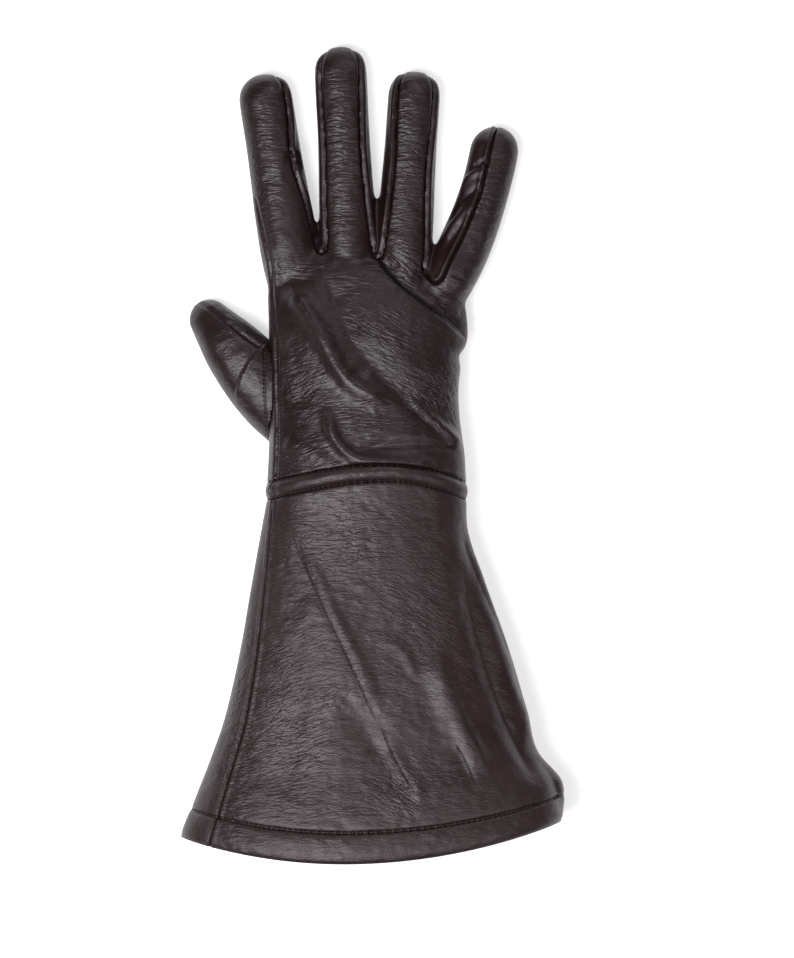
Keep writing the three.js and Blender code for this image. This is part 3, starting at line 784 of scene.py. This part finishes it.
# %% [markdown]
# The cuff and the band are simple tubes with one seam, so each is a single grid wrapped from the
# seam, over the back, round the little finger's side and under the palm, back to the seam. Its
# edges are real edges, which Solidify turns into the cut thickness of the leather.

# %% The leather of the cuff
stitch_pitch = 2.15


def seam_turn(share):
    """Where on the section the side seam lies."""
    seam = read(cuff_rows, "seam", share)
    return (np.pi - np.arccos(np.clip(seam, 0, 1) ** (back_squareness / 2))) / (2 * np.pi)


def cuff_skin(along, u, rise, folds):
    """Points of the cuff's leather and their normals, at u from 0 to 1 from seam to seam."""
    share = np.clip((along - band_width) / cuff_length, 0, 1)
    turn = seam_turn(share) - u
    points = cuff_point(along, turn, 0.0)
    way = cuff_point(along, turn + 0.002, 0.0) - cuff_point(along, turn - 0.002, 0.0)
    normal = np.stack([way[:, 2], 0 * way[:, 2], -way[:, 0]], axis=1)
    normal /= np.linalg.norm(normal, axis=1)[:, None] + 1e-9
    across = (read(cuff_rows, "left", share) + read(cuff_rows, "right", share)) * mouth_width / 2
    girth = 2.6 * across
    to_seam = np.abs(np.minimum(u, 1 - u)) * girth
    rolled = 0.4 * np.exp(-(((to_seam - 2.0) / 1.1) ** 2)) - 1.1 * np.exp(-((to_seam / 0.8) ** 2))
    up = smooth(normal[:, 2], -0.1, 0.5)
    eased = np.where(rise > -1.5, 0.45 + 0.55 * up, 1.0)
    lift = rise * eased + rolled + up * fold_rise(folds, points[:, 0], points[:, 1])
    lift = np.where((points[:, 2] < 0.5) | (normal[:, 2] < -0.3), np.minimum(lift, 0), lift)
    points = points + normal * lift[:, None]
    points[:, 2] = np.maximum(points[:, 2], 0.0)
    return points, normal


def number_layer(piece, name, values):
    layer = piece.data.attributes.new(name, "FLOAT", "POINT")
    layer.data.foreach_set("value", np.asarray(values, np.float32))


def row_length(along):
    u = np.linspace(0, 1, 400)
    return steps(cuff_skin(np.full(400, along), u, 0.0, [])[0]).sum()


def stitch_count(length, pitch):
    return max(int(length / pitch), 1)


near_seam = np.array([0.0004, 0.0012, 0.0022, 0.0036, 0.0054, 0.0078])
under_lap = np.array([1.0, 1.006, 1.012])
far_from_seam = np.linspace(0.011, 0.989, 320)
round_glove = np.concatenate([near_seam, far_from_seam, 1 - near_seam[::-1], under_lap])


# %% A grid wrapped round the glove
def wrapped(name, alongs, rise, lap_drop, folds, rows):
    """A grid round the glove, facing outwards, with its end lapped under its start."""
    bm = bmesh.new()
    bmesh.ops.create_grid(bm, x_segments=len(round_glove) - 1, y_segments=len(alongs) - 1, size=0.5)
    uv = np.array([v.co[:2] for v in bm.verts]) + 0.5
    u = np.interp(uv[:, 0], np.linspace(0, 1, len(round_glove)), round_glove)
    along = np.interp(uv[:, 1], np.linspace(0, 1, len(alongs)), alongs)
    height = np.where(u > 0.9999, -lap_drop, rise(along))
    for vert, point in zip(bm.verts, cuff_skin(along, u, height, folds)[0]):
        vert.co = point
    bmesh.ops.reverse_faces(bm, faces=bm.faces)
    piece = object_from(name, bm)
    nearest = np.abs(along[:, None] - np.array(rows)[None, :]).argmin(axis=1)
    counts = np.array([stitch_count(row_length(row), stitch_pitch) for row in rows])
    number_layer(piece, "row_away", along - np.array(rows)[nearest])
    number_layer(piece, "row_run", u * counts[nearest])
    return piece


def puffed(start, end, height, power):
    """The rise of leather between two lines of stitches."""

    def rise(along):
        share = np.clip((along - start) / (end - start), 0, 1)
        return height * np.maximum(np.sin(np.pi * share), 0) ** power

    return rise


# %% Band and cuff
cuff_end = band_width + cuff_length
hem_top = cuff_end - hem_width
band_puff = puffed(0.3, band_width - 0.3, 1.65, 0.75)
hem_puff = puffed(hem_top, cuff_end + 3, 1.1, 0.5)


def sunk(along, at, wide, deep):
    return -deep * np.exp(-(((along - at) / wide) ** 2))


def band_rise(along):
    """The band's edges turn down and go on as seam allowances under the hand and the cuff."""
    top, end = kerf * 0.8, band_width - kerf * 0.8
    return np.where(along < top, -2.4, np.where(along > end, -3.3, band_puff(along) - 0.45))


def cuff_rise(along):
    hem = hem_puff(along) + sunk(along, hem_top, 0.8, 0.9) + sunk(along, cuff_end, 1.6, 0.9)
    return hem + sunk(along, band_width, 0.8, 0.8)


visible_band = kerf + (band_width - 2 * kerf) * (1 - np.cos(np.linspace(0, np.pi, 15))) / 2
allowance = np.array([0.1, 1.0, 2.2])
under_hand, under_cuff = kerf * 0.7 - allowance[::-1], band_width - kerf * 0.7 + allowance
band_alongs = np.concatenate([under_hand, visible_band, under_cuff])
body_alongs = np.concatenate([
    band_width + kerf + np.array([0, 0.25, 0.5, 0.8, 1.2, 1.7, 2.4]),
    np.linspace(band_width + 3.6, hem_top - 2.5, 110),
    hem_top + np.array([-1.8, -1.2, -0.8, -0.4, 0, 0.4, 0.8, 1.2, 1.8]),
    np.linspace(hem_top + 2.6, cuff_end, 8),
])
band = wrapped("wrist_band_piece", band_alongs, band_rise, 4.6, [], [0.15, band_width])
cuff = wrapped("cuff_piece", body_alongs, cuff_rise, 2.6, cuff_folds, [band_width, hem_top])
for piece, thick in ((band, 1.2), (cuff, cuff_leather)):
    wall = piece.modifiers.new("leather", "SOLIDIFY")
    wall.thickness, wall.offset = thick, -1
pieces["wrist_band"] = band
pieces["cuff"] = cuff
print("cuff", len(cuff.data.polygons), "faces")


# %% [markdown]
# The stitches are thread: short, slightly bulging, and a little apart, because each one dives
# through the leather at both ends. They could be a bump, but they catch the light and cast small
# shadows, so each is a stretched sphere of few faces, laid along its seam.

# %% Rows of stitches
def stitches(name, points, normals, count, long=1.6, thick=0.5):
    """Stitches at even steps along a line on the leather."""
    run = np.concatenate([[0], np.cumsum(steps(points))])
    at = (np.arange(count) + 0.5) * run[-1] / count

    def on_line(values, where):
        return np.stack([np.interp(where, run, values[:, i]) for i in range(3)], axis=1)

    ahead = on_line(points, at + 0.4) - on_line(points, at - 0.4)
    ahead /= np.linalg.norm(ahead, axis=1)[:, None]
    up = on_line(normals, at)
    up -= ahead * np.sum(up * ahead, axis=1)[:, None]
    up /= np.linalg.norm(up, axis=1)[:, None]
    side = np.cross(up, ahead)
    one = bmesh.new()
    bmesh.ops.create_uvsphere(one, u_segments=6, v_segments=5, radius=0.5)
    bead = bpy.data.meshes.new("bead")
    one.to_mesh(bead)
    one.free()
    shape = coordinates(bead)
    row = bmesh.new()
    for unused in range(count):
        row.from_mesh(bead)
    thread = object_from(name, row)
    axes = np.stack([side * thick, up * thick, ahead * long], axis=1)
    placed = np.einsum("pk,nkc->npc", shape, axes) + on_line(points, at)[:, None, :]
    set_coordinates(thread.data, placed.reshape(-1, 3))
    print(name, count, "stitches")
    return thread


def round_row(name, along, height, thick=0.5):
    """A row of stitches that goes round the cuff."""
    u = np.linspace(0, 1, 1500)
    folds = cuff_folds if along > band_width + 1 else []
    points, normals = cuff_skin(np.full(u.shape, along), u, height, folds)
    count = stitch_count(row_length(along), stitch_pitch)
    return stitches(name, points, normals, count, thick=thick)


def dropped_row(name, line_seen, tree, height=0.0):
    """A row of stitches along a line seen from above, let down onto the leather."""
    line_fine = spline(line_seen, 200)
    hits = [tree.ray_cast(Vector((x, y, 90)), Vector((0, 0, -1))) for x, y in line_fine]
    hits = [hit for hit in hits if hit[0] is not None and hit[1].z > 0.1]
    points = np.array([hit[0] + hit[1] * height for hit in hits])
    normals = np.array([hit[1] for hit in hits])
    count = stitch_count(steps(points).sum(), 1.9)
    return stitches(name, points, normals, count, long=1.4, thick=0.34)


trank_tree, thumb_tree = tree_of(pieces["trank"]), tree_of(pieces["thumb"])
thumb_row = photo_line((264, 350), (264.5, 392), (266, 434))
side_row = side_seam[side_seam[:, 1] < 48] + (1.7, 0)
threads = [
    round_row("wrist_stitches", 0.1, -0.7, 0.4),
    round_row("band_stitches", band_width, -0.5, 0.36),
    round_row("hem_stitches", hem_top, -0.7),
    dropped_row("side_stitches", side_row[side_row[:, 1] > -1], trank_tree, -0.05),
    dropped_row("thumb_stitches_near", thumb_row, thumb_tree),
    dropped_row("thumb_stitches_far", photo_line((261, 352), (261.5, 392), (263, 430)), thumb_tree),
]

# %% [markdown]
# Leather's colour is nearly flat, and what the eye reads is gloss: a fine pebble, short creases
# across the folds, and a waxy shine that comes and goes. So the colour hardly varies, and the
# roughness and the bump do most of the work; only the drawn crease lines, the seam grooves and
# the stitch holes are darkened in the colour, as painted shade. Real creases run square to the
# way that the leather is pushed, so each patch of them below names its lay, and its weight goes
# into an attribute of that name that the material reads. The photo's own scale is used again for
# the places.

# %% Patches of fine creases
lays = {"level": 0, "falling": -28, "steep": -56, "rising": 18}
crease_patches = table(
    "lay x y wide high depth",
    ("level", 382, 419, 54, 24, 1.00),
    ("level", 298, 266, 32, 15, 0.70),
    ("level", 352, 278, 36, 24, 0.55),
    ("level", 264, 160, 20, 85, 0.75),
    ("level", 343, 150, 22, 95, 0.80),
    ("level", 408, 160, 24, 85, 0.85),
    ("level", 490, 200, 32, 62, 0.90),
    ("falling", 383, 328, 52, 26, 1.00),
    ("falling", 415, 386, 26, 20, 0.85),
    ("falling", 404, 268, 28, 24, 1.00),
    ("falling", 444, 300, 28, 22, 0.90),
    ("steep", 444, 392, 22, 36, 0.85),
    ("rising", 300, 376, 28, 46, 0.55),
    ("rising", 305, 456, 36, 16, 0.70),
    ("rising", 234, 360, 30, 50, 0.40),
    ("level", 352, 545, 110, 60, 0.85),
    ("falling", 430, 600, 60, 80, 0.70),
    ("level", 385, 660, 80, 70, 0.60),
    ("rising", 292, 705, 60, 90, 0.80),
    ("level", 232, 690, 22, 190, 1.30),
    ("falling", 402, 780, 32, 36, 1.00),
    ("level", 452, 785, 60, 28, 0.80),
    ("falling", 470, 650, 40, 70, 0.45),
    ("level", 310, 800, 85, 26, 0.70),
    ("steep", 300, 580, 26, 60, 0.35),
)


# %% Layers that the leather's material reads
def off_floor(points):
    """0 where the leather lies on the floor and 1 from 8 mm up."""
    return smooth(points[:, 2], 2.0, 8.0)


def crease_layers(piece, least, most):
    """Writes one layer for each lay, from least where no patch reaches up to most."""
    points = coordinates(piece.data)
    for lay in lays:
        weight = np.full(len(points), least if lay == "level" else 0.0)
        for i in np.nonzero(crease_patches["lay"] == lay)[0]:
            patch = {column: values[i] for column, values in crease_patches.items()}
            (x, y), = photo_line((patch["x"], patch["y"]))
            across = (points[:, 0] - x) / (patch["wide"] * photo_scale)
            upwards = (points[:, 1] - y) / (patch["high"] * photo_scale)
            here = most * patch["depth"] * np.exp(-(across ** 2) - upwards ** 2)
            weight = np.maximum(weight, here)
        number_layer(piece, lay, weight * off_floor(points))


def line_layers(piece, lines):
    """Signed distance in millimetres to the nearest fine drawn line, and how deep that line is,
    which the material uses both to sink it and to darken it with painted shade.
    """
    points = coordinates(piece.data)
    nearest, depth = np.full(len(points), 20.0), np.zeros(len(points))
    for line_seen, deep in lines:
        away, share = along_line(line_seen, points[:, 0], points[:, 1])
        ends = smooth(share, 0, 0.15) * (1 - smooth(share, 0.85, 1))
        fade = deep * ends * off_floor(points)
        closer = np.abs(away) < np.abs(nearest)
        nearest, depth = np.where(closer, away, nearest), np.where(closer, fade, depth)
    number_layer(piece, "line_away", nearest)
    number_layer(piece, "line_depth", depth)


def row_layers(piece, rows):
    """Distance in millimetres to the nearest row of stitches, and the stitches counted along it."""
    if "row_away" in piece.data.attributes:
        return
    points = coordinates(piece.data)
    away, run = np.full(len(points), 20.0), np.zeros(len(points))
    for row, count in rows:
        aside, share = along_line(row, points[:, 0], points[:, 1])
        closer = np.abs(aside) < np.abs(away)
        away, run = np.where(closer, aside, away), np.where(closer, share * count, run)
    number_layer(piece, "row_away", away)
    number_layer(piece, "row_run", run)


def drawn(depth, count, *points):
    """A fine line of the photo: a smooth line and how deep it is."""
    return spline(photo_line(*points), count), depth


fine_lines = {
    "trank": [
        (side_seam[side_seam[:, 1] < 60] + (1.7, 0), 0.9),
        drawn(1.0, 30, (373, 248), (400, 283), (420, 298), (440, 313), (455, 325), (468, 340)),
        drawn(0.8, 12, (450, 274), (462, 279), (476, 281), (492, 276)),
    ],
    "cuff": [
        drawn(0.45, 30, (290, 532), (324, 608), (351, 664), (368, 702), (380, 724)),
        drawn(0.6, 20, (380, 722), (392, 752), (410, 785)),
        drawn(0.5, 20, (455, 742), (465, 760), (476, 784)),
    ],
}
crease_range = {
    "trank": (0.16, 1.0),
    "thumb": (0.16, 0.8),
    "cuff": (0.2, 0.75),
    "wrist_band": (0.12, 0.2),
}
stitched = {
    "trank": [(wrist_line, 162 / stitch_pitch), (side_row, 26)],
    "thumb": [(thumb_row, 20)],
}
for name, piece in pieces.items():
    crease_layers(piece, *crease_range.get(name, (0.05, 0.25)))
    row_layers(piece, stitched.get(name, []))
    line_layers(piece, fine_lines.get(name, []))
print(len(crease_patches["lay"]), "patches of creases")


# %% Shader helper
class Flow:
    """One output socket of a node, with Python's operators as Math nodes."""

    def __init__(self, tree, socket):
        self.tree, self.socket = tree, socket

    def node(self, kind, settings=None, **inputs):
        made = self.tree.nodes.new(kind)
        for key, value in (settings or {}).items():
            setattr(made, key, value)
        for key, value in inputs.items():
            numbered = key[0] == "i" and key[1:].isdigit()
            target = made.inputs[int(key[1:]) if numbered else key.replace("_", " ")]
            if isinstance(value, Flow):
                self.tree.links.new(value.socket, target)
            else:
                target.default_value = value
        return made

    def math(self, operation, a, b=0.0):
        made = self.node("ShaderNodeMath", {"operation": operation}, i0=a, i1=b)
        return Flow(self.tree, made.outputs[0])

    def __add__(self, other):
        return self.math("ADD", self, other)

    __radd__ = __add__

    def __mul__(self, other):
        return self.math("MULTIPLY", self, other)

    __rmul__ = __mul__

    def __sub__(self, other):
        return self.math("SUBTRACT", self, other)

    def __rsub__(self, other):
        return self.math("SUBTRACT", other, self)

    def __abs__(self):
        return self.math("ABSOLUTE", self)

    def cosine(self):
        return self.math("COSINE", self)

    def clamp(self):
        return Flow(self.tree, self.node("ShaderNodeClamp", None, Value=self).outputs[0])

    def step(self, low, high):
        made = self.node("ShaderNodeMapRange", {"interpolation_type": "SMOOTHSTEP"}, Value=self)
        made.inputs["From Min"].default_value = low
        made.inputs["From Max"].default_value = high
        return Flow(self.tree, made.outputs[0])


# %% Finishes
def leather_finish(name, dark, light, gloss, crease_size, crease_depth):
    """Dyed, finished glove leather, creased where its layers say so, at a size in millimetres, its
    colour darkened by painted shade along drawn lines and stitch rows.
    """
    material = bpy.data.materials.new(name)
    material.use_nodes = True
    tree = material.node_tree
    shader = tree.nodes["Principled BSDF"]
    start = Flow(tree, tree.nodes.new("ShaderNodeTexCoord").outputs["Object"])

    def layer(layer_name):
        made = start.node("ShaderNodeAttribute", {"attribute_name": layer_name})
        return Flow(tree, made.outputs["Fac"])

    def noise_at(vector, scale, detail=2.0, rough=0.5, distortion=0.0):
        made = start.node(
            "ShaderNodeTexNoise",
            None,
            Vector=vector,
            Scale=scale,
            Detail=detail,
            Roughness=rough,
            Distortion=distortion,
        )
        return Flow(tree, made.outputs["Fac"])

    def creased(angle, scale):
        """Puffs of leather between sharp little valleys that run along the angle."""
        turned = start.node("ShaderNodeMapping", {"vector_type": "TEXTURE"}, Vector=start)
        turned.inputs["Rotation"].default_value = (0, 0, math.radians(angle))
        turned.inputs["Scale"].default_value = (4.2, 1.0, 1.6)
        puff = abs(noise_at(Flow(tree, turned.outputs[0]), scale, 1.0, 0.5, 0.6) * 2 - 1)
        return puff.step(0.0, 0.3) * 0.5 + puff * 0.9

    to_edge = {"feature": "DISTANCE_TO_EDGE"}
    cells = start.node("ShaderNodeTexVoronoi", to_edge, Vector=start, Scale=1100.0)
    pebble = Flow(tree, cells.outputs["Distance"]).step(0.0, 0.35)
    patches = noise_at(start, 26.0)
    soft = noise_at(start, 70.0, 3.0, 0.6)
    waves = noise_at(start, 130.0, 1.0)
    height = waves * 1.3 + pebble * 0.05
    for lay, angle in lays.items():
        coarse, fine = creased(angle, 1000 / crease_size), creased(angle + 7, 1800 / crease_size)
        height = height + layer(lay) * (coarse * crease_depth + fine * crease_depth * 0.4)
    # The drawn lines and the stitch holes are sunk in the bump, and below they also darken the base
    # colour as painted shade.
    line_groove = (1 - abs(layer("line_away")).step(0.12, 0.55)) * layer("line_depth")
    holes = ((layer("row_run") * (2 * math.pi)).cosine() * 0.5 + 0.5).step(0.2, 0.8)
    groove = line_groove + (1 - abs(layer("row_away")).step(0.25, 0.8)) * holes * 0.8
    height = height - groove * 1.2
    bump = start.node("ShaderNodeBump", None, Strength=1.0, Distance=0.0006, Height=height)
    tree.links.new(bump.outputs["Normal"], shader.inputs["Normal"])
    # Random tone and grain, minus painted shade in the drawn crease lines, the seam grooves and the
    # stitch holes.
    tone_grain_and_painted_shade = (soft * 0.7 + pebble * 0.3 - groove * 0.8).clamp()
    mixed = start.node("ShaderNodeMix", {"data_type": "RGBA"}, Factor=tone_grain_and_painted_shade)
    mixed.inputs["A"].default_value = (*dark, 1)
    mixed.inputs["B"].default_value = (*light, 1)
    tree.links.new(mixed.outputs["Result"], shader.inputs["Base Color"])
    roughness = (soft - 0.5) * 0.2 + (patches - 0.5) * 0.25 + gloss
    tree.links.new(roughness.clamp().socket, shader.inputs["Roughness"])
    shader.inputs["Specular IOR Level"].default_value = 0.5
    return material


def plain_finish(name, color, roughness):
    material = bpy.data.materials.new(name)
    material.use_nodes = True
    shader = material.node_tree.nodes["Principled BSDF"]
    shader.inputs["Base Color"].default_value = (*color, 1)
    shader.inputs["Roughness"].default_value = roughness
    return material


hand_tones = (0.0074, 0.0022, 0.0025), (0.021, 0.0074, 0.0082)
cuff_tones = (0.0118, 0.0048, 0.0051), (0.030, 0.0132, 0.0142)
hand_leather = leather_finish("glove leather", *hand_tones, 0.41, 2.6, 0.5)
cuff_finish = leather_finish("cuff leather", *cuff_tones, 0.44, 2.2, 0.44)
thread = plain_finish("thread", (0.030, 0.008, 0.010), 0.5)


# %% Putting the pieces in the shared frame
def to_frame(piece, finish):
    bm = bmesh.new()
    bm.from_mesh(piece.data)
    bmesh.ops.translate(bm, verts=bm.verts, vec=(wrist_seam[0], wrist_seam[1], 0))
    bmesh.ops.scale(bm, verts=bm.verts, vec=(0.001, 0.001, 0.001))
    bm.to_mesh(piece.data)
    bm.free()
    piece.data.polygons.foreach_set("use_smooth", np.ones(len(piece.data.polygons), bool))
    for modifier in piece.modifiers:
        if modifier.type == "SOLIDIFY":
            modifier.thickness /= 1000
    piece.data.materials.clear()
    piece.data.materials.append(finish)


def triangles(piece):
    return sum(len(polygon.vertices) - 2 for polygon in piece.data.polygons)


for node, piece in pieces.items():
    on_cuff = node in ("cuff", "wrist_band")
    piece.name = piece.data.name = f"{node}_leather"
    to_frame(piece, cuff_finish if on_cuff else hand_leather)
    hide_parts(node)
    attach(piece, "root")
    print(node, triangles(piece), "triangles")
for row in threads:
    to_frame(row, thread)
    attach(row, "root")
    print(row.name, triangles(row), "triangles")

# %% Floor, light and camera
bm = bmesh.new()
bmesh.ops.create_grid(bm, x_segments=1, y_segments=1, size=3.0)
floor = object_from("floor", bm)
floor_finish = plain_finish("pale floor", (0.9, 0.9, 0.9), 0.8)
floor_shader = floor_finish.node_tree.nodes["Principled BSDF"]
floor_shader.inputs["Emission Color"].default_value = (1, 1, 1, 1)
floor_shader.inputs["Emission Strength"].default_value = 0.55
floor.data.materials.append(floor_finish)

world = bpy.data.worlds.new("studio")
world.use_nodes = True
world.node_tree.nodes["Background"].inputs["Color"].default_value = (1, 1, 1, 1)
world.node_tree.nodes["Background"].inputs["Strength"].default_value = 0.05
bpy.context.scene.world = world


def softbox(name, place, target, wide, high, power):
    lamp = bpy.data.lights.new(name, "AREA")
    lamp.shape, lamp.size, lamp.size_y, lamp.energy = "RECTANGLE", wide, high, power
    lamp.color = (1.0, 0.96, 0.99)
    made = bpy.data.objects.new(name, lamp)
    made.location = place
    made.rotation_euler = (Vector(target) - Vector(place)).to_track_quat("-Z", "Y").to_euler()
    bpy.context.scene.collection.objects.link(made)


softbox("window", (-0.38, -0.22, 1.15), (0, 0, 0), 0.6, 0.6, 14.8)
softbox("fill", (0.2, 1.0, 0.8), (0, 0, 0), 0.5, 0.4, 2.5)
softbox("side", (0.5, -0.35, 0.95), (0, -0.1, 0), 0.5, 0.4, 2.2)

scene = bpy.context.scene
scene.view_settings.view_transform = "Standard"
camera_data = bpy.data.cameras.new("camera")
camera = bpy.data.objects.new("camera", camera_data)
scene.collection.objects.link(camera)
height_above, view_height = 3.0, 0.431
camera_data.lens = 36.0 * height_above / view_height
camera.location = (0.0109, -0.0118, height_above + 0.035)
camera.rotation_euler = (0, 0, 0)
scene.camera = camera
